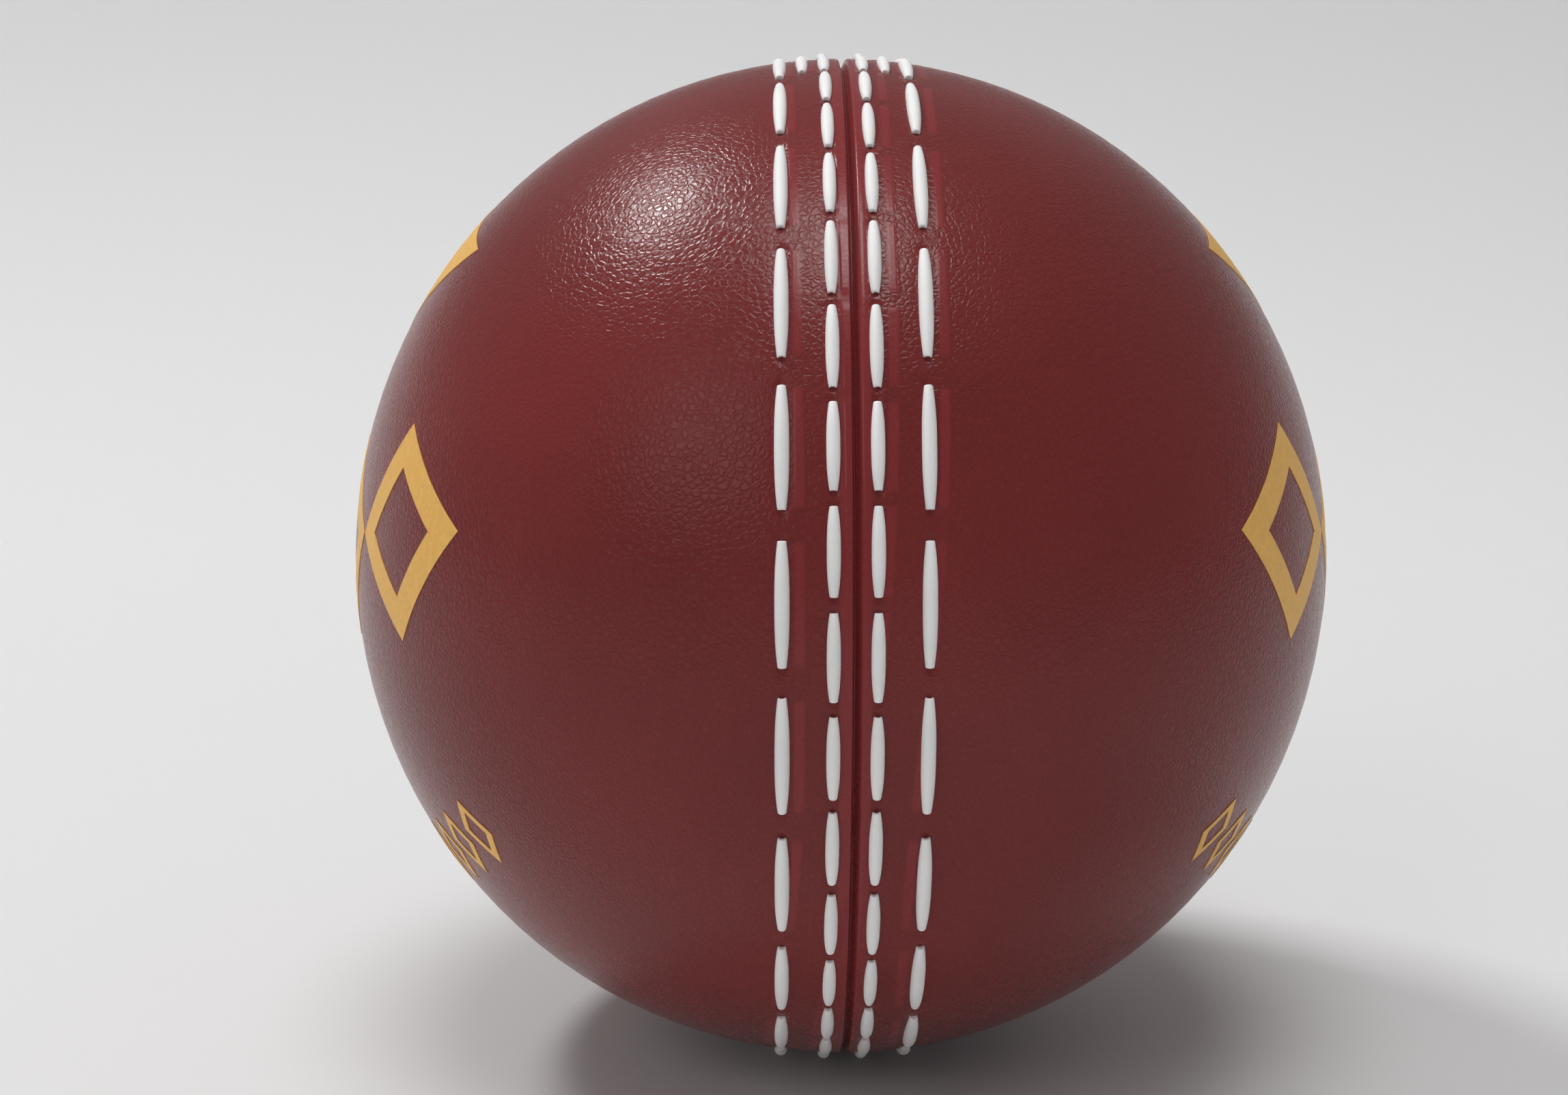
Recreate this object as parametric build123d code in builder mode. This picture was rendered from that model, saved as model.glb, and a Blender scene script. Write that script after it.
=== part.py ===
from build123d import *

import os
from math import acos, cos, degrees, radians, sin

os.makedirs("parts", exist_ok=True)

# A men's cricket ball, in millimetres. The origin is the middle of the ball.
# X runs from cheek to cheek, square to the seam. The seam lies in the YZ plane. +Z is up.
# Turns about X are given in degrees above the -Y direction, rising towards +Z.

# Overall
pole_radius = 35.5
seam_radius = 36.35
leather_thickness = 3.6

# Core
nucleus_radius = 12.5
layer_pairs = 5
cork_share = 0.42
gore_count = 4
gore_gap = 0.3

# Seam between the two leather cups
groove_half_width = 0.2
groove_depth = 0.5

# Closing stitches, one row on each side of the seam
inner_count = 36
inner_offset = 1.33
inner_radius = 0.4
inner_first_deg = 90.0
inner_half_deg = 3.7
inner_rise = 0.02
shallow_depth = 1.45
deep_depth = 2.45
lock_offset = 2.85
lock_mid_deg = 81.0
lock_half_deg = 4.85

# Outer stitches, one row on each cup
outer_count = 24
outer_offset = 4.4
outer_radius = 0.45
outer_first_deg = 185.0
outer_half_deg = 5.34
outer_depth = 2.0

# Threads
dip_radius = 0.75
turn_radius = 0.6
hole_clearance = 0.05
end_gap = 0.25
seam_overrun = 0.5

# Gold foil ornament on each cheek
foil_thickness = 0.06
foil_glue = 0.01
foil_turn_deg = 9.5
large_width = 12.6
large_height = 14.4
large_stroke = 1.9
large_pitch = 13.0
large_level = 1.65
small_width = 2.9
small_height = 4.2
small_stroke = 0.45
small_pitch = 3.4
small_level = -21.6
small_lift = 3.3
small_count = 12
crest_width = 30.0
crest_height = 13.0
crest_level = 21.0


def surface_radius(x):
    """Distance of the leather surface from the X axis at a given x."""
    return seam_radius * (1 - (x / pole_radius) ** 2) ** 0.5


def place(x, radius, turn_deg):
    """A point at x, at a radius from the X axis, turned up from -Y."""
    return (x, -radius * cos(radians(turn_deg)), radius * sin(radians(turn_deg)))


def over(x, mid_deg, half_deg, radius):
    """The visible run of one stitch: two dips into the leather and a crown between them."""
    crown = radius + surface_radius(x)
    reach = 0.45 * half_deg
    top = crown / cos(radians(half_deg - reach))
    points = [
        place(x, top, mid_deg - half_deg),
        place(x, crown / cos(radians(reach)), mid_deg),
        place(x, top, mid_deg + half_deg),
    ]
    return points, [dip_radius, crown, dip_radius]


def closing_route(side, depth):
    """A closing thread: its lock stitch, then a stitch on each cup in turn, all the way round."""
    start_radius = surface_radius(lock_offset) - depth - 0.75
    points = [place(side * lock_offset, start_radius, lock_mid_deg - lock_half_deg)]
    radii = []
    crown, bends = over(side * lock_offset, lock_mid_deg, lock_half_deg, inner_rise)
    points += crown
    radii += bends
    points.append(place(side * lock_offset, seam_radius - depth, lock_mid_deg + lock_half_deg))
    radii.append(turn_radius)
    pitch = 360 / inner_count
    for k in range(inner_count):
        x = side * inner_offset * (1 if k % 2 == 0 else -1)
        mid_deg = inner_first_deg + pitch * k
        points.append(place(x, seam_radius - depth, mid_deg - inner_half_deg))
        radii.append(turn_radius)
        crown, bends = over(x, mid_deg, inner_half_deg, inner_rise)
        points += crown
        radii += bends
        points.append(place(x, seam_radius - depth, mid_deg + inner_half_deg))
        radii.append(turn_radius)
    points.append(place(0.25 * points[-1][0], seam_radius - depth, inner_first_deg - pitch + inner_half_deg))
    return points, radii


def running_route(x):
    """An outer thread: over and under the leather of one cup, all the way round."""
    pitch = 360 / outer_count
    low = surface_radius(x) - outer_depth
    points = [place(x, low, outer_first_deg - outer_half_deg - 0.3 * pitch / 2)]
    radii = []
    for k in range(outer_count):
        mid_deg = outer_first_deg + pitch * k
        points.append(place(x, low, mid_deg - outer_half_deg))
        radii.append(turn_radius)
        crown, bends = over(x, mid_deg, outer_half_deg, inner_rise)
        points += crown
        radii += bends
        points.append(place(x, low, mid_deg + outer_half_deg))
        radii.append(turn_radius)
    points.append(place(x, low, outer_first_deg + outer_half_deg - pitch + 0.3 * pitch / 2))
    return points, radii


def pulled_in(route):
    """The same route, a little shorter at both ends than its tunnel."""
    points, radii = route
    first = Vector(points[0]) + (Vector(points[1]) - Vector(points[0])).normalized() * end_gap
    last = Vector(points[-1]) + (Vector(points[-2]) - Vector(points[-1])).normalized() * end_gap
    return [tuple(first)] + points[1:-1] + [tuple(last)], radii


def thread(route, radius):
    """A round thread, or the tunnel it runs in, along a route."""
    points, radii = route
    with BuildPart() as made:
        with BuildLine() as path:
            FilletPolyline(*points, radius=radii)
        run = path.wire()
        with BuildSketch(Plane(origin=run @ 0, z_dir=run % 0)):
            Circle(radius)
        sweep(path=run)
    return made.part


# Core, from the middle outwards
core_radius = pole_radius - leather_thickness
pair_thickness = (core_radius - nucleus_radius) / layer_pairs

with BuildPart() as nucleus:
    Sphere(nucleus_radius)
nucleus.part.label = "Cork and rubber nucleus"
export_step(nucleus.part, "parts/cork_rubber_nucleus.step")

for pair in range(layer_pairs):
    bottom = nucleus_radius + pair * pair_thickness
    middle = bottom + cork_share * pair_thickness
    top = bottom + pair_thickness
    with BuildPart() as gores:
        Sphere(middle)
        Sphere(bottom, mode=Mode.SUBTRACT)
        for k in range(gore_count // 2):
            Box(3 * top, 3 * top, gore_gap, rotation=(180 * k / (gore_count // 2), 0, 0), mode=Mode.SUBTRACT)
    with BuildPart() as cork:
        add(gores.part, rotation=(180 / gore_count * (pair % 2), 0, 0))
    cork.part.label = f"Cork layer {pair + 1}"
    export_step(cork.part, f"parts/cork_layer_{pair + 1}.step")
    with BuildPart() as winding:
        Sphere(top)
        Sphere(middle, mode=Mode.SUBTRACT)
    winding.part.label = f"Yarn winding {pair + 1}"
    export_step(winding.part, f"parts/yarn_winding_{pair + 1}.step")

# Threads
closing_a = closing_route(-1, shallow_depth)
closing_b = closing_route(1, deep_depth)
running_left = running_route(-outer_offset)
running_right = running_route(outer_offset)

with BuildPart() as seam_thread_a:
    add(thread(pulled_in(closing_a), inner_radius))
seam_thread_a.part.label = "Seam thread, first needle"
export_step(seam_thread_a.part, "parts/seam_thread_a.step")

with BuildPart() as seam_thread_b:
    add(thread(pulled_in(closing_b), inner_radius))
seam_thread_b.part.label = "Seam thread, second needle"
export_step(seam_thread_b.part, "parts/seam_thread_b.step")

with BuildPart() as outer_thread_left:
    add(thread(pulled_in(running_left), outer_radius))
outer_thread_left.part.label = "Outer row thread, left cup"
export_step(outer_thread_left.part, "parts/outer_thread_left.step")

with BuildPart() as outer_thread_right:
    add(thread(pulled_in(running_right), outer_radius))
outer_thread_right.part.label = "Outer row thread, right cup"
export_step(outer_thread_right.part, "parts/outer_thread_right.step")

# Leather cups, bored and grooved where the threads run
bore_radius = inner_radius + hole_clearance
lock_points = 5
stitch_points = 5


def at_seam(start, end):
    """The point of a crossing run that lies just past the seam, on the far side of it."""
    share = (abs(start[0]) + seam_overrun) / abs(start[0] - end[0])
    return tuple(a + share * (b - a) for a, b in zip(start, end))


def closing_bores(side, route):
    """The short tunnels of one closing thread that lie in one cup, one for each of its stitches."""
    points, radii = route
    bores = []
    for k in range(inner_count):
        first = lock_points + stitch_points * k
        last = first + stitch_points
        if points[first][0] * side < 0:
            continue
        if k == 0:
            run = points[:last]
            bends = radii[: last - 1]
        else:
            run = [at_seam(points[first], points[first - 1])] + points[first:last]
            bends = radii[first - 1 : last - 1]
        if k == inner_count - 1:
            run = run + [points[last]]
        else:
            run = run + [at_seam(points[last - 1], points[last])]
        bores.append(thread((run, bends), bore_radius))
    return bores


def cup(side, running):
    """A leather cup on one side of the seam."""
    lip = degrees(acos(groove_half_width / pole_radius))
    lip_radius = surface_radius(groove_half_width)
    bores = closing_bores(side, closing_a) + closing_bores(side, closing_b)
    with BuildPart() as made:
        with BuildSketch(Plane.XY if side > 0 else Plane.XY.rotated((0, 180, 0))):
            with BuildLine():
                Line((0, core_radius), (0, seam_radius - groove_depth))
                Line((0, seam_radius - groove_depth), (groove_half_width, lip_radius))
                EllipticalCenterArc((0, 0), pole_radius, seam_radius, 0, arc_size=lip)
                Line((pole_radius, 0), (core_radius, 0))
                CenterArc((0, 0), core_radius, 0, 90)
            make_face()
        revolve(axis=Axis.X)
        add(thread(running, outer_radius + hole_clearance), mode=Mode.SUBTRACT)
        add(bores, mode=Mode.SUBTRACT)
    return made.part


with BuildPart() as leather_cup_left:
    add(cup(-1, running_left))
leather_cup_left.part.label = "Leather cup, left"
export_step(leather_cup_left.part, "parts/leather_cup_left.step")

with BuildPart() as leather_cup_right:
    add(cup(1, running_right))
leather_cup_right.part.label = "Leather cup, right"
export_step(leather_cup_right.part, "parts/leather_cup_right.step")


# Gold foil, pressed on each cheek
def lozenge(width, height):
    """A lozenge on the current sketch."""
    Polygon((width / 2, 0), (0, height / 2), (-width / 2, 0), (0, -height / 2))


def ornament(side):
    """Lozenges in foil on one cheek: a crest, a row of four large frames and a row of small ones."""
    lean = radians(foil_turn_deg)
    drawing = Plane(origin=(0, 0, 0), x_dir=(0, -cos(lean), sin(lean)), z_dir=(-1, 0, 0))
    with BuildSketch(drawing) as sketch:
        with Locations((0, crest_level)):
            lozenge(crest_width, crest_height)
        for k in range(4):
            with Locations(((k - 1.5) * large_pitch, large_level)):
                with BuildSketch(mode=Mode.PRIVATE) as frame:
                    lozenge(large_width, large_height)
                    offset(amount=-large_stroke, mode=Mode.SUBTRACT)
                add(frame.sketch)
        for k in range(small_count):
            along = (k - (small_count - 1) / 2) * small_pitch
            reach = (small_count - 1) / 2 * small_pitch
            with Locations((along, small_level + small_lift * (along / reach) ** 2)):
                with BuildSketch(mode=Mode.PRIVATE) as frame:
                    lozenge(small_width, small_height)
                    offset(amount=-small_stroke, mode=Mode.SUBTRACT)
                add(frame.sketch)
    with BuildPart() as made:
        for lift, how in ((foil_glue + foil_thickness, Mode.ADD), (foil_glue, Mode.SUBTRACT)):
            with BuildSketch(Plane.XY):
                with BuildLine():
                    EllipticalCenterArc((0, 0), pole_radius + lift, seam_radius + lift, 0, arc_size=180)
                    Line((-pole_radius - lift, 0), (pole_radius + lift, 0))
                make_face()
            revolve(axis=Axis.X, mode=how)
        extrude(sketch.sketch, amount=-side * 2 * pole_radius, mode=Mode.INTERSECT)
    return made.part


with BuildPart() as foil_stamp_left:
    add(ornament(-1))
foil_stamp_left.part.label = "Gold foil ornament, left"
export_step(foil_stamp_left.part, "parts/foil_stamp_left.step")

with BuildPart() as foil_stamp_right:
    add(ornament(1))
foil_stamp_right.part.label = "Gold foil ornament, right"
export_step(foil_stamp_right.part, "parts/foil_stamp_right.step")
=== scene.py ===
import math

import bpy
import numpy as np
from mathutils import Matrix, Vector


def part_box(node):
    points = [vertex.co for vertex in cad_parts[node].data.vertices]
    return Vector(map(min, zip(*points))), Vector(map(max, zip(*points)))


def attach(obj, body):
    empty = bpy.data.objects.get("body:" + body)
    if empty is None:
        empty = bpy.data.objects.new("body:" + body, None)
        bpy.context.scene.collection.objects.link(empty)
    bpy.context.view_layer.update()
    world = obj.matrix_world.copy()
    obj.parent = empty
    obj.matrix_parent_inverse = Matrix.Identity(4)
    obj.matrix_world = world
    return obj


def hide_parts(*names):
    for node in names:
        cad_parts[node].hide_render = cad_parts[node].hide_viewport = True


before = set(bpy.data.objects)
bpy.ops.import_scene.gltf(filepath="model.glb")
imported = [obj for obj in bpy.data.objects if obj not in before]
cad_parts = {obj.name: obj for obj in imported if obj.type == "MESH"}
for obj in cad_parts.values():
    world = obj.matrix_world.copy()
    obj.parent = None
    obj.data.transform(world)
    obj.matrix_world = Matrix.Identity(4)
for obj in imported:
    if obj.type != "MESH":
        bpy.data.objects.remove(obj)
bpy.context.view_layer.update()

MM = 0.001

# The ball's own measures, in millimetres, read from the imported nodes
cup_low, cup_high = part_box("leather_cup_right")
POLE = cup_high[0] / MM
SEAM = cup_high[2] / MM
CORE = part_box("yarn_winding_5")[1][0] / MM

# Rows of stitches, as the solids have them
INNER = dict(count=36, x=1.33, first=90.0, half=4.28, radius=0.43)
OUTER = dict(count=24, x=4.4, first=185.0, half=6.05, radius=0.46)
LOCK = dict(x=2.85, mid=81.0, half=5.45, radius=0.42)

# Depth of each hidden thread under the leather
SHALLOW = 1.45
DEEP = 2.45
OUTER_DEPTH = 2.0
DIVE_DEG = 0.41
DIVE_BEND = 0.35

# How the leather is worked at the seam, the stitches and the marks of the stitching press
GROOVE_DEPTH = 0.6
LIP_RISE = 0.04
STITCH_SINK = 0.035
END_DIMPLE = 0.16
MARK_RISE = 0.035

# Rows and columns of the cups' outer mesh
COLUMNS = 900
FINE_EDGE = 0.9
WORKED_EDGE = 6.4

# Gold ornament, as the solids have it
FOIL_LEAN = 9.5
CREST = dict(level=21.0, width=30.0, height=13.0)
LARGE = dict(count=4, pitch=13.0, level=1.65, width=12.6, height=14.4, stroke=1.9)
SMALL = dict(count=12, pitch=3.4, level=-21.6, lift=3.3, width=2.9, height=4.2, stroke=0.45)


def surface_radius(x):
    """Distance of the bare leather from the X axis at x."""
    return SEAM * np.sqrt(np.clip(1 - (np.asarray(x) / POLE) ** 2, 0, None))


def place(x, radius, turn):
    """A point at x and at a radius from the X axis, turned up from -Y, in metres."""
    t = np.radians(turn)
    return np.stack(np.broadcast_arrays(x, -radius * np.cos(t), radius * np.sin(t)), axis=-1) * MM


def mesh_object(name, points, faces, smooth=True):
    mesh = bpy.data.meshes.new(name)
    mesh.from_pydata([tuple(p) for p in points], [], faces)
    mesh.update()
    mesh.shade_smooth() if smooth else mesh.shade_flat()
    obj = bpy.data.objects.new(name, mesh)
    bpy.context.scene.collection.objects.link(obj)
    return obj


def grid_faces(rows, columns, wrap, flip=False, start=0):
    """Quads of a grid of rows by columns. wrap closes it along its columns."""
    faces = []
    for r in range(rows - 1):
        for c in range(columns if wrap else columns - 1):
            d = (c + 1) % columns
            near, far = start + r * columns, start + (r + 1) * columns
            quad = (near + c, near + d, far + d, far + c)
            faces.append(quad[::-1] if flip else quad)
    return faces


# ---------------------------------------------------------------- leather cups
def smooth_step(low, high, value):
    t = np.clip((value - low) / (high - low), 0, 1)
    return t * t * (3 - 2 * t)


def stitch_rows(side):
    """(x, middle in degrees, half length in degrees, radius) of every visible stitch on one cup."""
    rows = []
    for spec in (INNER, OUTER):
        for k in range(spec["count"]):
            mid = spec["first"] + k * 360 / spec["count"]
            rows.append((side * spec["x"], mid, spec["half"], spec["radius"]))
    rows.append((side * LOCK["x"], LOCK["mid"], LOCK["half"], LOCK["radius"]))
    return rows


def press_shift(side, z):
    """How far to the right of its stitch, in millimetres, the mark of the stitching press lies."""
    if side > 0:
        return 1.12 * np.tanh((z + 2.0) / 12.0)
    return 1.07 * np.tanh((z + 22.5) / 8.0) * (1 - 0.27 * (np.clip(z, 0, None) / 28.0) ** 2)


def relief(side, x, turn):
    """Height of the leather over its plain form, in millimetres, and how much it is pressed smooth; the
    leather's colour paints a highlight by the same amount.
    """
    away = np.abs(x)
    height = np.zeros_like(x)
    pressed_and_highlight = np.zeros_like(x)
    # the two lips of the seam: a sharp edge on the left cup, a rounded one on the right
    if side < 0:
        height -= GROOVE_DEPTH * smooth_step(0.21, 0.12, away)
    else:
        height -= GROOVE_DEPTH * np.exp(-((away / 0.27) ** 2.6))
        height += LIP_RISE * np.exp(-(((away - 0.6) / 0.3) ** 2))
    # the lips are pressed smooth, and get the same painted highlight in the colour
    pressed_and_highlight += smooth_step(0.98, 0.86, away)
    for sx, mid, half, radius in stitch_rows(side):
        d = (turn - mid + 180) % 360 - 180
        near = (np.abs(d) < half * 1.6) & (np.abs(x - sx) < 2.6)
        if not near.any():
            continue
        along = np.radians(d[near]) * SEAM
        across = x[near] - sx
        length = math.radians(half) * SEAM
        # the leather gives a little under the thread, and is drawn down where the thread goes in
        inside = smooth_step(length + 0.3, length - 0.3, np.abs(along))
        height[near] -= STITCH_SINK * inside * np.exp(-((across / (radius * 1.3)) ** 2))
        for end in (-1, 1):
            reach = ((along - end * (length + 0.02)) / 0.26) ** 2 + (across / 0.3) ** 2
            height[near] -= END_DIMPLE * np.exp(-reach)
        # the mark of the stitching press beside each stitch: a low real rise, pressed smooth, with a painted
        # highlight laid on it in the colour
        shift = press_shift(side, np.sin(np.radians(turn[near])) * SEAM)
        mark = smooth_step(0.34, 0.27, np.abs(across - shift))
        mark = mark * smooth_step(length * 0.99, length * 0.93, np.abs(along))
        height[near] += MARK_RISE * mark
        pressed_and_highlight[near] = np.maximum(pressed_and_highlight[near], mark)
    return height, np.clip(pressed_and_highlight, 0, 1)


def make_cup(side, name):
    """The leather of one cup, a closed shell: worked outside, plain inside."""
    columns = COLUMNS
    worked = np.concatenate([np.arange(0.005, FINE_EDGE, 0.045), np.arange(FINE_EDGE, WORKED_EDGE, 0.11)])
    # past the worked rows the surface goes on to the cheek in even steps of angle
    turn_out = np.linspace(math.asin(WORKED_EDGE / POLE), math.pi / 2 - 0.012, 27)
    out_x = np.concatenate([worked, POLE * np.sin(turn_out)])
    rows = len(out_x)
    turns = np.arange(columns) * 360 / columns
    x = np.repeat(out_x[:, None], columns, axis=1) * side
    turn = np.repeat(turns[None, :], rows, axis=0)
    base = surface_radius(x)
    high, pressed_and_highlight = relief(side, x.ravel(), turn.ravel())
    high = high.reshape(x.shape)
    normal_x = x / POLE**2
    normal_r = base / SEAM**2
    size = np.sqrt(normal_x**2 + normal_r**2)
    px = x + high * normal_x / size
    pr = base + high * normal_r / size
    points = [place(px.ravel(), pr.ravel(), turn.ravel())]
    faces = grid_faces(rows, columns, True, flip=side > 0)
    smooth_and_highlight = [pressed_and_highlight]
    count = rows * columns
    # the cheek's middle
    points.append(np.array([[side * POLE * MM, 0, 0]]))
    smooth_and_highlight.append(np.zeros(1))
    tip = count
    last = (rows - 1) * columns
    for c in range(columns):
        tri = (last + c, last + (c + 1) % columns, tip)
        faces.append(tri[::-1] if side > 0 else tri)
    count += 1
    # the seam face and the inside of the cup
    inner_angle = np.linspace(0.0, math.pi / 2 - 0.02, 8)
    inner_x = side * CORE * np.sin(inner_angle)
    inner_x[0] = side * 0.005
    start = count
    ix = np.repeat(inner_x[:, None], columns, axis=1)
    ir = np.repeat((CORE * np.cos(inner_angle))[:, None], columns, axis=1)
    it = np.repeat(turns[None, :], len(inner_x), axis=0)
    points.append(place(ix.ravel(), ir.ravel(), it.ravel()))
    smooth_and_highlight.append(np.zeros(ix.size))
    faces += grid_faces(len(inner_x), columns, True, flip=side < 0, start=start)
    for c in range(columns):
        d = (c + 1) % columns
        quad = (c, start + c, start + d, d)
        faces.append(quad[::-1] if side > 0 else quad)
    count += ix.size
    points.append(np.array([[side * CORE * MM, 0, 0]]))
    smooth_and_highlight.append(np.zeros(1))
    last = start + (len(inner_x) - 1) * columns
    for c in range(columns):
        tri = (last + c, last + (c + 1) % columns, count)
        faces.append(tri if side > 0 else tri[::-1])
    obj = mesh_object(name, np.concatenate(points), faces)
    # the pressed mask goes with the mesh; the leather uses it for smoother grain and for a painted highlight
    layer = obj.data.attributes.new("pressed_and_highlight", "FLOAT", "POINT")
    layer.data.foreach_set("value", np.concatenate(smooth_and_highlight).astype(np.float32))
    return obj


# ---------------------------------------------------------------- threads
def bend_route(points, radii, step=0.16):
    """Points along a route with rounded corners, no more than a step apart."""
    points = [np.asarray(p, float) for p in points]
    out = [points[0]]
    for i in range(1, len(points) - 1):
        a, b, c = points[i - 1], points[i], points[i + 1]
        u = (a - b) / np.linalg.norm(a - b)
        v = (c - b) / np.linalg.norm(c - b)
        half = math.acos(max(-1.0, min(1.0, float(u @ v)))) / 2
        if half > math.pi / 2 - 1e-4:
            out.append(b)
            continue
        reach = radii[i - 1] / math.tan(half)
        centre = b + (u + v) / np.linalg.norm(u + v) * radii[i - 1] / math.sin(half)
        first, last = b + u * reach - centre, b + v * reach - centre
        swing = math.pi - 2 * half
        parts = max(2, int(math.ceil(swing * radii[i - 1] / step)))
        for k in range(parts + 1):
            w = k / parts
            spoke = math.sin((1 - w) * swing) * first + math.sin(w * swing) * last
            out.append(centre + spoke / math.sin(swing))
    out.append(points[-1])
    dense = [out[0]]
    for p in out[1:]:
        gap = np.linalg.norm(p - dense[-1])
        parts = max(1, int(math.ceil(gap / step)))
        base = dense[-1]
        for k in range(1, parts + 1):
            dense.append(base + (p - base) * k / parts)
    return dense


END_RINGS = ((0.03, 0.93), (0.05, 0.7))


def spindle(x, mid, half, radius, step=0.14):
    """The visible crown of a stitch: centres, tangents, and the radius of the thread at each."""
    length = math.radians(half) * SEAM - END_RINGS[-1][0]
    parts = int(2 * length / step)
    stops = [(-1 + 2 * k / parts, 0.0, 1.0) for k in range(parts + 1)]
    # the thread is pinched where it goes in, so that a stitch has blunt ends
    stops = [(-1, -d, w) for d, w in reversed(END_RINGS)] + stops + [(1, d, w) for d, w in END_RINGS]
    centres, tangents, widths = [], [], []
    for t, beyond, pinch in stops:
        turn = mid + math.degrees((t * length + beyond) / SEAM)
        r = float(surface_radius(x)) + 0.03 - 0.08 * abs(t) ** 3
        centres.append(place(x, r, turn) / MM)
        tangents.append(place(0, -1, turn + 90) / MM)
        widths.append(radius * (1 - 0.4 * abs(t) ** 2.6) * pinch)
    return centres, tangents, widths


def directions(run):
    change = np.gradient(np.array(run), axis=0)
    return list(change / np.linalg.norm(change, axis=1)[:, None])


def thread_path(crowns, depth, start=None, end=None, under=0.16):
    """A whole thread: crowns joined under the leather. Each crown is (x, mid, half, radius)."""
    centres, tangents, widths = [], [], []
    for i, (x, mid, half, radius) in enumerate(crowns):
        crown, heading, width = spindle(x, mid, half, radius)
        first = place(x, float(surface_radius(x)) - depth, mid - half + DIVE_DEG) / MM
        last = place(x, float(surface_radius(x)) - depth, mid + half - DIVE_DEG) / MM
        if i == 0:
            run = bend_route([start, first, crown[0]], [DIVE_BEND])
            keep = slice(0, -2)
        else:
            run = bend_route([before, before_low, first, crown[0]], [DIVE_BEND, DIVE_BEND])
            keep = slice(2, -2)
        centres += run[keep] + crown
        tangents += directions(run)[keep] + heading
        widths += [under] * len(run[keep]) + width
        before, before_low = crown[-1], last
    run = bend_route([before, before_low, end], [DIVE_BEND])
    centres += run[2:]
    tangents += directions(run)[2:]
    widths += [under] * len(run[2:])
    return centres, tangents, widths


def make_tube(name, centres, tangents, widths, sides=16):
    centres = np.array(centres)
    tangents = np.array(tangents)
    widths = np.array(widths)
    side = np.zeros_like(centres)
    across = np.cross(tangents[0], [1.0, 0.0, 0.0])
    for i, t in enumerate(tangents):
        across = across - t * (across @ t)
        across /= np.linalg.norm(across)
        side[i] = across
    other = np.cross(tangents, side)
    angle = np.arange(sides) * 2 * math.pi / sides
    rings = centres[:, None, :] + widths[:, None, None] * (
        np.cos(angle)[None, :, None] * side[:, None, :] + np.sin(angle)[None, :, None] * other[:, None, :]
    )
    points = rings.reshape(-1, 3) * MM
    faces = grid_faces(len(centres), sides, True, flip=True)
    faces.append(tuple(range(sides)))
    faces.append(tuple(reversed(range((len(centres) - 1) * sides, len(centres) * sides))))
    return mesh_object(name, points, faces)


def closing_thread(name, side, depth):
    crowns = [(side * LOCK["x"], LOCK["mid"], LOCK["half"], LOCK["radius"])]
    pitch = 360 / INNER["count"]
    for k in range(INNER["count"]):
        x = side * INNER["x"] * (1 if k % 2 == 0 else -1)
        crowns.append((x, INNER["first"] + pitch * k, INNER["half"], INNER["radius"]))
    tail_turn = INNER["first"] - pitch + INNER["half"] - DIVE_DEG
    start = place(side * LOCK["x"], SEAM - depth - 0.5, LOCK["mid"] - LOCK["half"] + 0.2) / MM
    end = place(-side * INNER["x"] * 0.25, SEAM - depth, tail_turn) / MM
    return make_tube(name, *thread_path(crowns, depth, start, end))


def outer_thread(name, side):
    pitch = 360 / OUTER["count"]
    crowns = []
    for k in range(OUTER["count"]):
        crowns.append((side * OUTER["x"], OUTER["first"] + pitch * k, OUTER["half"], OUTER["radius"]))
    low = float(surface_radius(OUTER["x"])) - OUTER_DEPTH
    start = place(side * OUTER["x"], low, OUTER["first"] - OUTER["half"] - 1.0) / MM
    end = place(side * OUTER["x"], low, OUTER["first"] - pitch + OUTER["half"] + 1.0) / MM
    return make_tube(name, *thread_path(crowns, OUTER_DEPTH, start, end))


# ---------------------------------------------------------------- gold foil
def on_cheek(side, u, v, lift):
    """A point of the flat drawing laid on a cheek. u runs along the row, v up."""
    lean = math.radians(FOIL_LEAN)
    y = -u * math.cos(lean) + v * math.sin(lean)
    z = u * math.sin(lean) + v * math.cos(lean)
    x = side * POLE * np.sqrt(np.clip(1 - (y * y + z * z) / SEAM**2, 0, None))
    normal = np.stack([x / POLE**2, y / SEAM**2, z / SEAM**2], axis=-1)
    normal /= np.linalg.norm(normal, axis=-1, keepdims=True)
    return (np.stack([x, y, z], axis=-1) + lift * normal) * MM


def foil_patch(side, u, v, lift, points, faces):
    """Adds a thin closed sheet over a grid of (u, v) to points and faces."""
    rows, columns = u.shape
    start = sum(len(p) for p in points)
    points.append(on_cheek(side, u.ravel(), v.ravel(), lift))
    under = start + u.size
    points.append(on_cheek(side, u.ravel(), v.ravel(), -0.05))
    ring = [c for c in range(columns)]
    ring += [r * columns + columns - 1 for r in range(1, rows)]
    ring += [(rows - 1) * columns + c for c in range(columns - 2, -1, -1)]
    ring += [r * columns for r in range(rows - 2, 0, -1)]
    flip = side > 0
    faces += grid_faces(rows, columns, False, flip=flip, start=start)
    faces += grid_faces(rows, columns, False, flip=not flip, start=under)
    for i, a in enumerate(ring):
        b = ring[(i + 1) % len(ring)]
        quad = (start + a, under + a, under + b, start + b)
        faces.append(quad if flip else quad[::-1])


def foil_lozenge(side, cu, cv, width, height, lift, points, faces, parts=18):
    s = np.linspace(0, 1, parts + 1)
    a, b = np.meshgrid(s, s, indexing="ij")
    u = cu + (a - b) * width / 2
    v = cv + (1 - a - b) * height / 2
    foil_patch(side, u, v, lift, points, faces)


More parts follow.
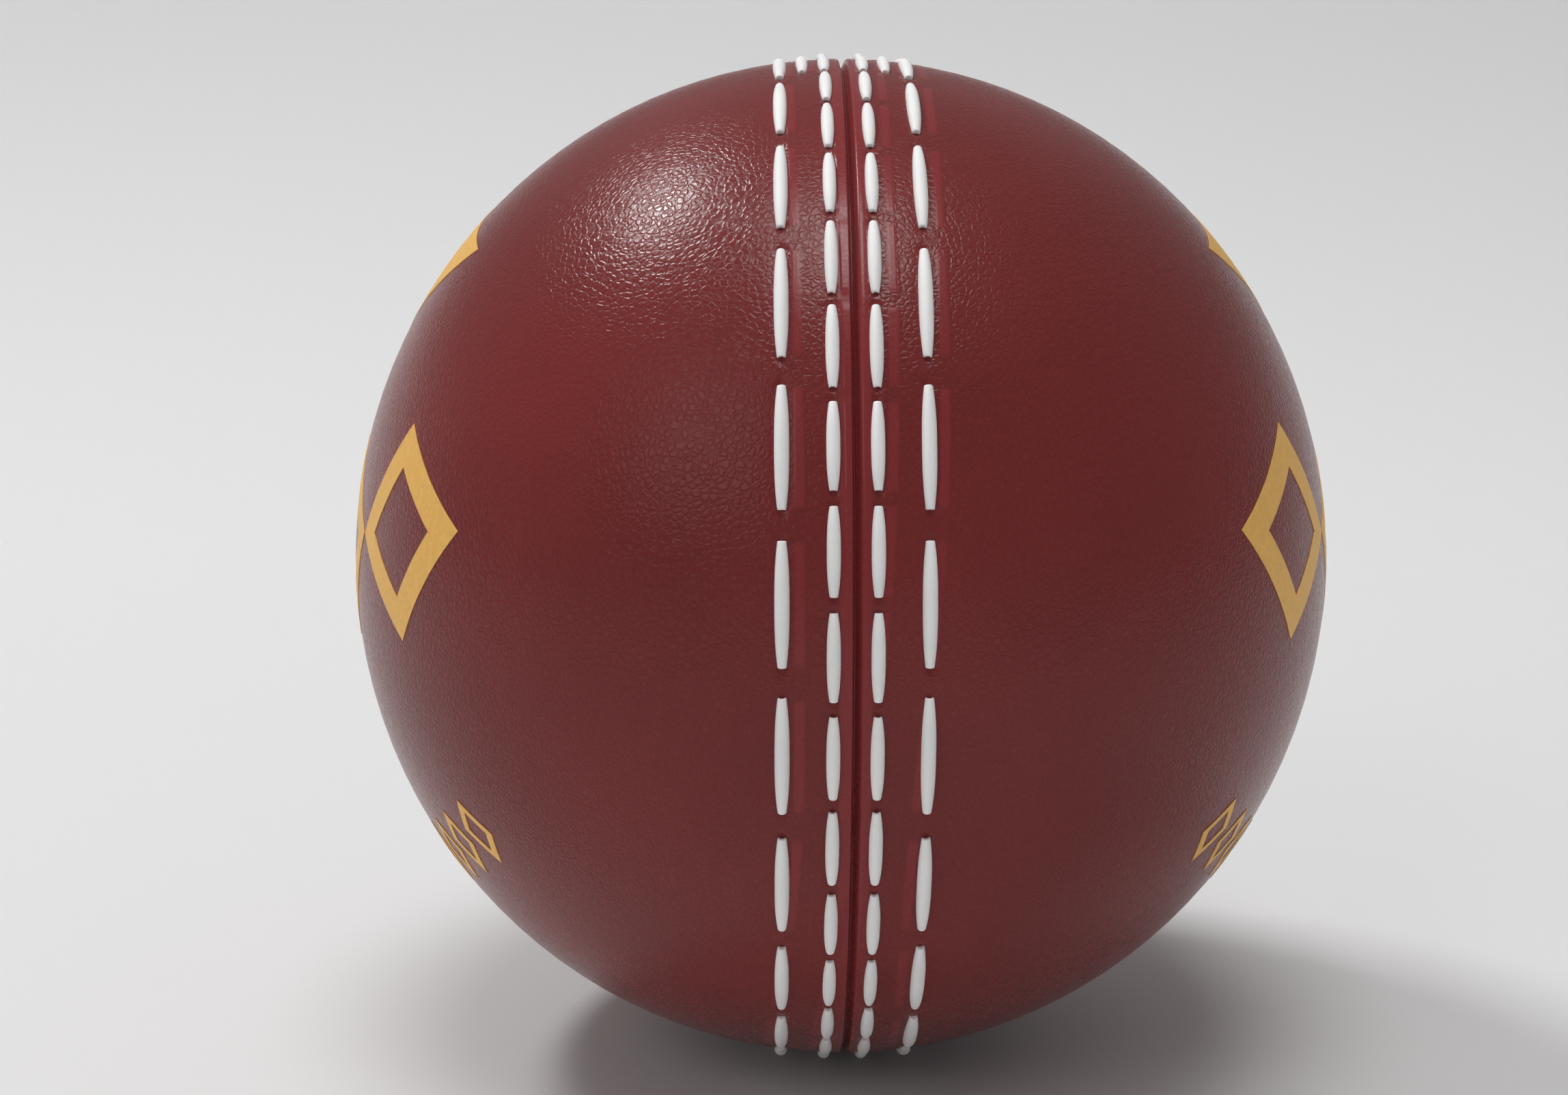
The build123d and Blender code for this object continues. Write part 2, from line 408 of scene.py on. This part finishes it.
def foil_frame(side, cu, cv, width, height, stroke, lift, points, faces, parts=14):
    corners = [(1, 0), (0, 1), (-1, 0), (0, -1)]
    slope = math.hypot(width, height)
    inner_w = width - 2 * stroke * slope / height
    inner_h = height - 2 * stroke * slope / width
    s = np.linspace(0, 1, parts + 1)
    w = np.linspace(0, 1, 4)
    sg, wg = np.meshgrid(s, w, indexing="ij")
    for i in range(4):
        (ax, ay), (bx, by) = corners[i], corners[(i + 1) % 4]
        px = ax + (bx - ax) * sg
        py = ay + (by - ay) * sg
        u = cu + px * (width + (inner_w - width) * wg) / 2
        v = cv + py * (height + (inner_h - height) * wg) / 2
        foil_patch(side, u, v, lift, points, faces)


def make_foil(name, side, lift=0.035):
    """The whole ornament of one cheek."""
    points, faces = [], []
    foil_lozenge(side, 0, CREST["level"], CREST["width"], CREST["height"], lift, points, faces)
    large = (LARGE["width"], LARGE["height"], LARGE["stroke"])
    for k in range(LARGE["count"]):
        u = (k - (LARGE["count"] - 1) / 2) * LARGE["pitch"]
        foil_frame(side, u, LARGE["level"], *large, lift, points, faces)
    small = (SMALL["width"], SMALL["height"], SMALL["stroke"])
    middle = (SMALL["count"] - 1) / 2
    for k in range(SMALL["count"]):
        along = (k - middle) / middle
        u = along * middle * SMALL["pitch"]
        foil_frame(side, u, SMALL["level"] + SMALL["lift"] * along**2, *small, lift, points, faces, parts=6)
    obj = mesh_object(name, np.concatenate(points), faces)
    obj.data.set_sharp_from_angle(angle=math.radians(35))
    return obj


# ---------------------------------------------------------------- materials
def new_material(name):
    material = bpy.data.materials.new(name)
    material.use_nodes = True
    nodes = material.node_tree.nodes
    nodes.clear()
    out = nodes.new("ShaderNodeOutputMaterial")
    shader = nodes.new("ShaderNodeBsdfPrincipled")
    material.node_tree.links.new(shader.outputs[0], out.inputs[0])
    return material, nodes, material.node_tree.links, shader


def node(nodes, kind, **values):
    made = nodes.new(kind)
    for key, value in values.items():
        if hasattr(made, key):
            setattr(made, key, value)
        else:
            made.inputs[key.replace("_", " ")].default_value = value
    return made


def ramp(nodes, stops):
    made = nodes.new("ShaderNodeValToRGB")
    elements = made.color_ramp.elements
    elements[0].position, elements[0].color = stops[0][0], (*stops[0][1], 1)
    elements[1].position, elements[1].color = stops[-1][0], (*stops[-1][1], 1)
    for position, colour in stops[1:-1]:
        e = elements.new(position)
        e.color = (*colour, 1)
    return made


def leather():
    material, nodes, links, shader = new_material("red_leather")
    coordinate = nodes.new("ShaderNodeTexCoord")
    warp = node(nodes, "ShaderNodeTexNoise", Scale=1500.0, Detail=2.0)
    links.new(coordinate.outputs["Object"], warp.inputs["Vector"])
    centred = node(nodes, "ShaderNodeVectorMath", operation="MULTIPLY_ADD")
    links.new(warp.outputs["Color"], centred.inputs[0])
    centred.inputs[1].default_value = (0.00032, 0.00032, 0.00032)
    links.new(coordinate.outputs["Object"], centred.inputs[2])
    cells = node(nodes, "ShaderNodeTexVoronoi", feature="DISTANCE_TO_EDGE", Scale=2300.0)
    links.new(centred.outputs[0], cells.inputs["Vector"])
    crease = node(nodes, "ShaderNodeMapRange", interpolation_type="SMOOTHSTEP")
    crease.inputs["From Min"].default_value = 0.0
    crease.inputs["From Max"].default_value = 0.26
    links.new(cells.outputs["Distance"], crease.inputs["Value"])
    fine = node(nodes, "ShaderNodeTexNoise", Scale=5200.0, Detail=3.0, Roughness=0.55)
    links.new(coordinate.outputs["Object"], fine.inputs["Vector"])
    broad = node(nodes, "ShaderNodeTexNoise", Scale=55.0, Detail=3.0, Roughness=0.5)
    links.new(coordinate.outputs["Object"], broad.inputs["Vector"])
    # colour, with painted shade darkening the creases of the grain and a painted highlight where the leather
    # is pressed smooth
    tone = ramp(nodes, [(0.3, (0.172, 0.0235, 0.023)), (0.7, (0.202, 0.029, 0.028))])
    links.new(broad.outputs["Fac"], tone.inputs["Fac"])
    # painted shade: the colour is darkened in the creases of the grain, where shade falls, and lifted a
    # little on the cells
    crease_shaded = node(nodes, "ShaderNodeMix", data_type="RGBA", blend_type="MULTIPLY")
    crease_shaded.inputs["Factor"].default_value = 1.0
    shade = ramp(nodes, [(0.0, (0.93, 0.92, 0.92)), (1.0, (1.02, 1.02, 1.02))])
    links.new(crease.outputs[0], shade.inputs["Fac"])
    links.new(tone.outputs["Color"], crease_shaded.inputs["A"])
    links.new(shade.outputs["Color"], crease_shaded.inputs["B"])
    # painted highlight: where the leather is pressed smooth, on the seam lips and the press marks, the colour
    # is lifted to a lighter red
    pressed_and_highlight = node(nodes, "ShaderNodeAttribute", attribute_name="pressed_and_highlight")
    press_highlight = node(nodes, "ShaderNodeMix", data_type="RGBA")
    links.new(pressed_and_highlight.outputs["Fac"], press_highlight.inputs["Factor"])
    links.new(crease_shaded.outputs["Result"], press_highlight.inputs["A"])
    press_highlight.inputs["B"].default_value = (0.235, 0.032, 0.034, 1)
    links.new(press_highlight.outputs["Result"], shader.inputs["Base Color"])
    # roughness
    rough = node(nodes, "ShaderNodeMapRange")
    rough.inputs["To Min"].default_value = 0.28
    rough.inputs["To Max"].default_value = 0.18
    links.new(crease.outputs[0], rough.inputs["Value"])
    links.new(rough.outputs[0], shader.inputs["Roughness"])
    # grain
    total = node(nodes, "ShaderNodeMath", operation="MULTIPLY_ADD")
    links.new(fine.outputs["Fac"], total.inputs[0])
    total.inputs[1].default_value = 0.8
    links.new(crease.outputs[0], total.inputs[2])
    keep = node(nodes, "ShaderNodeMapRange")
    keep.inputs["To Min"].default_value = 1.0
    keep.inputs["To Max"].default_value = 0.12
    links.new(pressed_and_highlight.outputs["Fac"], keep.inputs["Value"])
    high = node(nodes, "ShaderNodeMath", operation="MULTIPLY")
    links.new(total.outputs[0], high.inputs[0])
    links.new(keep.outputs[0], high.inputs[1])
    bump = node(nodes, "ShaderNodeBump", Strength=0.38, Distance=0.00004)
    links.new(high.outputs[0], bump.inputs["Height"])
    links.new(bump.outputs[0], shader.inputs["Normal"])
    shader.inputs["Specular IOR Level"].default_value = 0.21
    shader.inputs["Sheen Weight"].default_value = 0.02
    shader.inputs["Sheen Roughness"].default_value = 0.4
    shader.inputs["Sheen Tint"].default_value = (0.9, 0.85, 0.86, 1)
    return material


def thread_material():
    material, nodes, links, shader = new_material("white_thread")
    coordinate = nodes.new("ShaderNodeTexCoord")
    fibre = node(nodes, "ShaderNodeTexNoise", Scale=9000.0, Detail=2.0)
    links.new(coordinate.outputs["Object"], fibre.inputs["Vector"])
    broad = node(nodes, "ShaderNodeTexNoise", Scale=260.0, Detail=1.0)
    links.new(coordinate.outputs["Object"], broad.inputs["Vector"])
    tone = ramp(nodes, [(0.3, (0.88, 0.875, 0.865)), (0.7, (0.93, 0.928, 0.92))])
    links.new(broad.outputs["Fac"], tone.inputs["Fac"])
    links.new(tone.outputs["Color"], shader.inputs["Base Color"])
    rough = node(nodes, "ShaderNodeMapRange")
    rough.inputs["To Min"].default_value = 0.48
    rough.inputs["To Max"].default_value = 0.62
    links.new(fibre.outputs["Fac"], rough.inputs["Value"])
    links.new(rough.outputs[0], shader.inputs["Roughness"])
    bump = node(nodes, "ShaderNodeBump", Strength=0.25, Distance=0.00001)
    links.new(fibre.outputs["Fac"], bump.inputs["Height"])
    links.new(bump.outputs[0], shader.inputs["Normal"])
    shader.inputs["Specular IOR Level"].default_value = 0.35
    return material


def foil_material():
    material, nodes, links, shader = new_material("gold_foil")
    coordinate = nodes.new("ShaderNodeTexCoord")
    grain = node(nodes, "ShaderNodeTexNoise", Scale=2600.0, Detail=3.0)
    links.new(coordinate.outputs["Object"], grain.inputs["Vector"])
    tone = ramp(nodes, [(0.25, (0.80, 0.44, 0.09)), (0.75, (0.92, 0.53, 0.13))])
    links.new(grain.outputs["Fac"], tone.inputs["Fac"])
    links.new(tone.outputs["Color"], shader.inputs["Base Color"])
    rough = node(nodes, "ShaderNodeMapRange")
    rough.inputs["To Min"].default_value = 0.42
    rough.inputs["To Max"].default_value = 0.58
    links.new(grain.outputs["Fac"], rough.inputs["Value"])
    links.new(rough.outputs[0], shader.inputs["Roughness"])
    bump = node(nodes, "ShaderNodeBump", Strength=0.35, Distance=0.00002)
    links.new(grain.outputs["Fac"], bump.inputs["Height"])
    links.new(bump.outputs[0], shader.inputs["Normal"])
    shader.inputs["Metallic"].default_value = 0.12
    return material


def yarn_material():
    material, nodes, links, shader = new_material("wound_yarn")
    coordinate = nodes.new("ShaderNodeTexCoord")
    turned = nodes.new("ShaderNodeMapping")
    turned.inputs["Rotation"].default_value = (0.5, 0.7, 0.3)
    links.new(coordinate.outputs["Object"], turned.inputs["Vector"])
    wraps = node(nodes, "ShaderNodeTexWave", Scale=420.0, Distortion=6.0, Detail=2.0)
    wraps.inputs["Detail Scale"].default_value = 0.6
    links.new(turned.outputs[0], wraps.inputs["Vector"])
    tone = ramp(nodes, [(0.0, (0.30, 0.245, 0.18)), (1.0, (0.62, 0.55, 0.43))])
    links.new(wraps.outputs["Fac"], tone.inputs["Fac"])
    links.new(tone.outputs["Color"], shader.inputs["Base Color"])
    bump = node(nodes, "ShaderNodeBump", Strength=0.8, Distance=0.0003)
    links.new(wraps.outputs["Fac"], bump.inputs["Height"])
    links.new(bump.outputs[0], shader.inputs["Normal"])
    shader.inputs["Roughness"].default_value = 0.9
    return material


def cork_material(name, dark, light):
    material, nodes, links, shader = new_material(name)
    coordinate = nodes.new("ShaderNodeTexCoord")
    crumbs = node(nodes, "ShaderNodeTexVoronoi", Scale=900.0)
    links.new(coordinate.outputs["Object"], crumbs.inputs["Vector"])
    speck = node(nodes, "ShaderNodeTexNoise", Scale=1800.0, Detail=4.0)
    links.new(coordinate.outputs["Object"], speck.inputs["Vector"])
    tone = ramp(nodes, [(0.2, dark), (0.8, light)])
    mixed = node(nodes, "ShaderNodeMath", operation="MULTIPLY_ADD")
    links.new(crumbs.outputs["Distance"], mixed.inputs[0])
    mixed.inputs[1].default_value = 0.5
    links.new(speck.outputs["Fac"], mixed.inputs[2])
    links.new(mixed.outputs[0], tone.inputs["Fac"])
    links.new(tone.outputs["Color"], shader.inputs["Base Color"])
    bump = node(nodes, "ShaderNodeBump", Strength=0.6, Distance=0.0002)
    links.new(mixed.outputs[0], bump.inputs["Height"])
    links.new(bump.outputs[0], shader.inputs["Normal"])
    shader.inputs["Roughness"].default_value = 0.85
    return material


def floor_material():
    material, nodes, links, shader = new_material("studio_floor")
    coordinate = nodes.new("ShaderNodeTexCoord")
    grain = node(nodes, "ShaderNodeTexNoise", Scale=4.0, Detail=2.0)
    links.new(coordinate.outputs["Object"], grain.inputs["Vector"])
    tone = ramp(nodes, [(0.0, (0.74, 0.74, 0.74)), (1.0, (0.76, 0.76, 0.76))])
    links.new(grain.outputs["Fac"], tone.inputs["Fac"])
    links.new(tone.outputs["Color"], shader.inputs["Base Color"])
    shader.inputs["Roughness"].default_value = 0.75
    shader.inputs["Specular IOR Level"].default_value = 0.2
    return material


red_leather = leather()
white_thread = thread_material()
gold_foil = foil_material()
wound_yarn = yarn_material()
cork = cork_material("cork", (0.20, 0.105, 0.05), (0.52, 0.33, 0.17))
cork_rubber = cork_material("cork_rubber", (0.035, 0.02, 0.015), (0.30, 0.17, 0.09))


def finish_piece(obj, material, slot, *nodes):
    obj.data.materials.clear()
    obj.data.materials.append(material)
    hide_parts(*nodes)
    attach(obj, "root")


finish_piece(make_cup(-1, "cup_left_hide"), red_leather, "red_leather", "leather_cup_left")
finish_piece(make_cup(1, "cup_right_hide"), red_leather, "red_leather", "leather_cup_right")
finish_piece(closing_thread("closing_stitches_a", -1, SHALLOW), white_thread, "white_thread", "seam_thread_a")
finish_piece(closing_thread("closing_stitches_b", 1, DEEP), white_thread, "white_thread", "seam_thread_b")
finish_piece(outer_thread("outer_stitches_left", -1), white_thread, "white_thread", "outer_thread_left")
finish_piece(outer_thread("outer_stitches_right", 1), white_thread, "white_thread", "outer_thread_right")
finish_piece(make_foil("gold_ornament_left", -1), gold_foil, "gold_foil", "foil_stamp_left")
finish_piece(make_foil("gold_ornament_right", 1), gold_foil, "gold_foil", "foil_stamp_right")

core_look = {"yarn": wound_yarn, "cork_layer": cork, "cork_rubber": cork_rubber}
for name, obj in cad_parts.items():
    for start, material in core_look.items():
        if name.startswith(start):
            obj.data.materials.clear()
            obj.data.materials.append(material)

# ---------------------------------------------------------------- floor, lights and camera
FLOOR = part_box("seam_thread_a")[0][2] - 0.0002


def make_floor():
    """The floor, which curves up behind the ball."""
    bend_start, bend = 0.2, 0.24
    profile = [(-5.0, FLOOR), (-0.6, FLOOR), (0.0, FLOOR), (bend_start, FLOOR)]
    for k in range(1, 31):
        a = math.radians(70 * k / 30)
        profile.append((bend_start + bend * math.sin(a), FLOOR + bend * (1 - math.cos(a))))
    points = []
    for y, z in profile:
        points.append((-5.0, y, z))
        points.append((5.0, y, z))
    faces = grid_faces(len(profile), 2, False)
    faces = [f[::-1] for f in faces]
    obj = mesh_object("studio_floor", points, faces)
    obj.data.materials.append(floor_material())
    return obj


make_floor()


def make_surround(radius=4.8, tone=0.2):
    """A plain pale dome round the studio, seen only past the edge of the floor."""
    material, _, _, shader = new_material("studio_surround")
    shader.inputs["Base Color"].default_value = (0, 0, 0, 1)
    shader.inputs["Specular IOR Level"].default_value = 0.0
    shader.inputs["Emission Color"].default_value = (1, 1, 1, 1)
    shader.inputs["Emission Strength"].default_value = tone
    levels = [math.radians(-10 + 100 * k / 24 * 0.999) for k in range(25)]
    turns = [2 * math.pi * k / 64 for k in range(64)]
    points = [
        (radius * math.cos(a) * math.cos(t), radius * math.cos(a) * math.sin(t), radius * math.sin(a))
        for a in levels
        for t in turns
    ]
    obj = mesh_object("studio_surround", points, grid_faces(len(levels), len(turns), True, flip=True))
    obj.data.materials.append(material)
    for way in ("diffuse", "glossy", "transmission", "shadow", "volume_scatter"):
        setattr(obj, "visible_" + way, False)


make_surround()


def softbox(name, direction, distance, width, height, power, spread=180):
    """A rectangular light in a direction from the ball, aimed at it."""
    light = bpy.data.lights.new(name, "AREA")
    light.shape = "RECTANGLE"
    light.size = width
    light.size_y = height
    light.energy = power
    light.spread = math.radians(spread)
    obj = bpy.data.objects.new(name, light)
    d = Vector(direction).normalized()
    obj.location = d * distance
    obj.rotation_euler = (-d).to_track_quat("-Z", "Y").to_euler()
    bpy.context.scene.collection.objects.link(obj)
    return obj


softbox("key_softbox", (-0.46, 0.255, 0.85), 1.9, 0.5, 0.24, 14.8)
softbox("top_softbox", (0.0, -0.16, 0.987), 2.2, 1.0, 1.0, 1.95, spread=48)
softbox("front_softbox", (-0.52, -0.67, 0.53), 2.2, 1.0, 1.0, 5.0)

world = bpy.data.worlds.new("studio")
world.use_nodes = True
world.node_tree.nodes["Background"].inputs[0].default_value = (0.78, 0.78, 0.79, 1)
world.node_tree.nodes["Background"].inputs[1].default_value = 0.3
bpy.context.scene.world = world

camera_data = bpy.data.cameras.new("camera")
camera_data.sensor_width = 36.0
camera_data.lens = 52.7
camera_data.clip_start = 0.01
camera = bpy.data.objects.new("camera", camera_data)
right = Vector((0.99998, -0.0060, -0.00085))
forward = Vector((0.005778, 0.986325, -0.164711)).normalized()
right = (right - forward * right.dot(forward)).normalized()
up = right.cross(forward)
turn = Matrix((right, up, -forward)).transposed().to_4x4()
camera.matrix_world = Matrix.Translation(Vector((-5.057, -169.468, 28.904)) * MM) @ turn
bpy.context.scene.collection.objects.link(camera)
bpy.context.scene.camera = camera
bpy.context.scene.view_settings.view_transform = "Standard"
bpy.context.scene.view_settings.look = "None"
